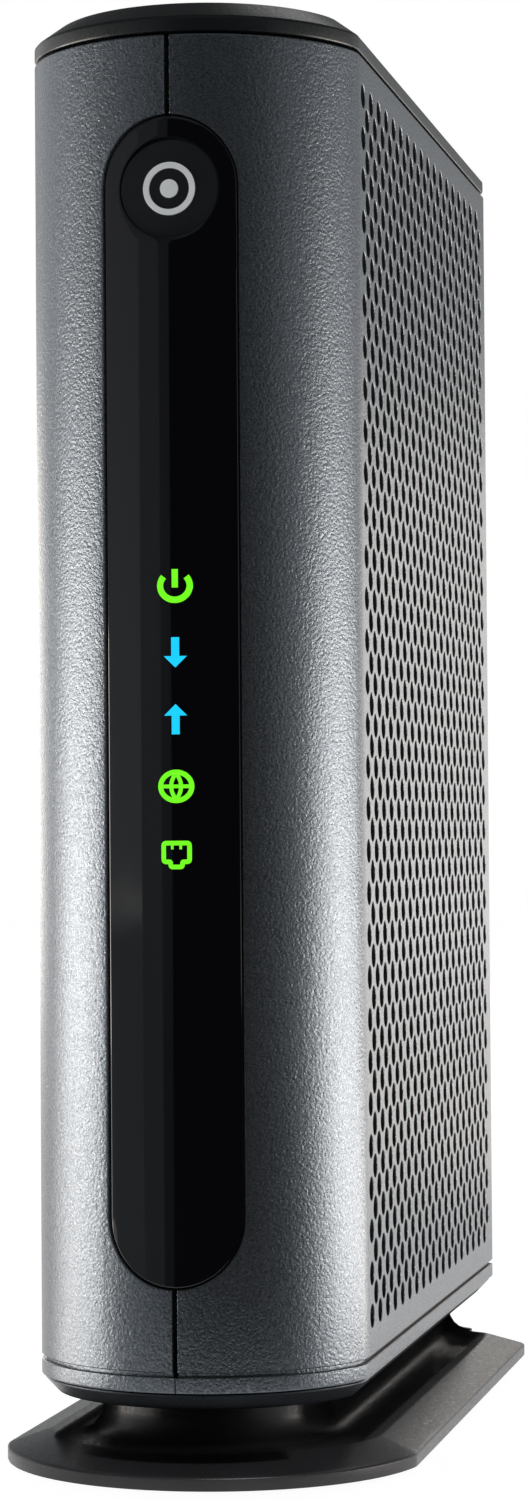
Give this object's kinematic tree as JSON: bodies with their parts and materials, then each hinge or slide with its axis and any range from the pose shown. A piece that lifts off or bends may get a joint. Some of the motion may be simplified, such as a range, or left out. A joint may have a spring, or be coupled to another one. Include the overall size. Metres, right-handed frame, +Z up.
{
  "type": "cable modem",
  "caption": "Upright free-standing cable modem: grey shell with perforated sides, long glossy indicator window, black cap and stand, rear coaxial, network and power sockets.",
  "frame": {"origin": "centre of the stand's footprint, on the table", "axes": "+X to the right as seen from the front, +Y from the indicator window towards the connectors, +Z up"},
  "size_m": [0.0534, 0.132, 0.184],
  "materials": {
    "shell_grey": "satin",
    "cap_black": "satin",
    "tray_dark": "satin",
    "stand_black": "satin",
    "lens_black": "polished",
    "emblem_black": "gloss",
    "emblem_silver": "satin",
    "icon_green": "satin",
    "icon_blue": "satin",
    "clear_guide": "polished",
    "shroud_black": "matte",
    "led_white": "satin",
    "board_green": "satin",
    "chip_black": "matte",
    "pad_blue": "matte",
    "heatsink_metal": "satin",
    "tin_plate": "satin",
    "capacitor_sleeve": "satin",
    "ferrite_grey": "matte",
    "steel_screw": "satin",
    "black_screw": "satin",
    "panel_black": "matte",
    "socket_black": "matte",
    "gold_contact": "polished",
    "nickel": "polished",
    "insulator_white": "matte",
    "button_grey": "satin",
    "plunger_white": "satin",
    "reset_red": "satin",
    "foot_rubber": "matte"
  },
  "bodies": {
    "housing": {"left_shell": "shell_grey", "right_shell": "shell_grey", "left_grille": "shell_grey", "right_grille": "shell_grey", "top_cap": "cap_black", "bottom_tray": "tray_dark", "rear_panel": "panel_black", "front_lens": "lens_black", "emblem_disc": "emblem_black", "emblem_mark": "emblem_silver", "icon_power": "icon_green", "icon_downstream": "icon_blue", "icon_upstream": "icon_blue", "icon_online": "icon_green", "icon_ethernet": "icon_green", "light_guides": "clear_guide", "light_shroud": "shroud_black", "indicator_leds": "led_white", "main_board": "board_green", "soc_chip": "chip_black", "thermal_pad": "pad_blue", "heatsink": "heatsink_metal", "memory_chip": "chip_black", "flash_chip": "chip_black", "tuner_frame": "tin_plate", "tuner_lid": "tin_plate", "tuner_chip": "chip_black", "magnetics": "chip_black", "crystal": "tin_plate", "capacitors": "capacitor_sleeve", "inductors": "ferrite_grey", "board_screws": "steel_screw", "rear_screws": "black_screw", "rj45_housing": "socket_black", "rj45_shield": "tin_plate", "rj45_contacts": "gold_contact", "coax_barrel": "nickel", "coax_nut": "nickel", "coax_washer": "tin_plate", "coax_insulator": "insulator_white", "coax_contact": "gold_contact", "dc_jack_body": "socket_black", "dc_jack_pin": "nickel", "dc_jack_spring": "nickel", "power_switch": "socket_black", "reset_switch": "socket_black", "stand_base": "stand_black", "stand_screws": "steel_screw", "rubber_feet": "foot_rubber"},
    "power_key": {"power_button": "button_grey", "power_plunger": "plunger_white"},
    "reset_pin": {"reset_plunger": "reset_red"}
  },
  "joints": [
    {"name": "power_push", "type": "slide", "parent": "housing", "child": "power_key", "axis": [0, -1, 0], "range_m": [0, 0.0025], "stiffness_N_per_m": 500, "springref_m": -0.001},
    {"name": "reset_push", "type": "slide", "parent": "housing", "child": "reset_pin", "axis": [0, -1, 0], "range_m": [0, 0.0006], "stiffness_N_per_m": 800, "springref_m": -0.0005}
  ]
}
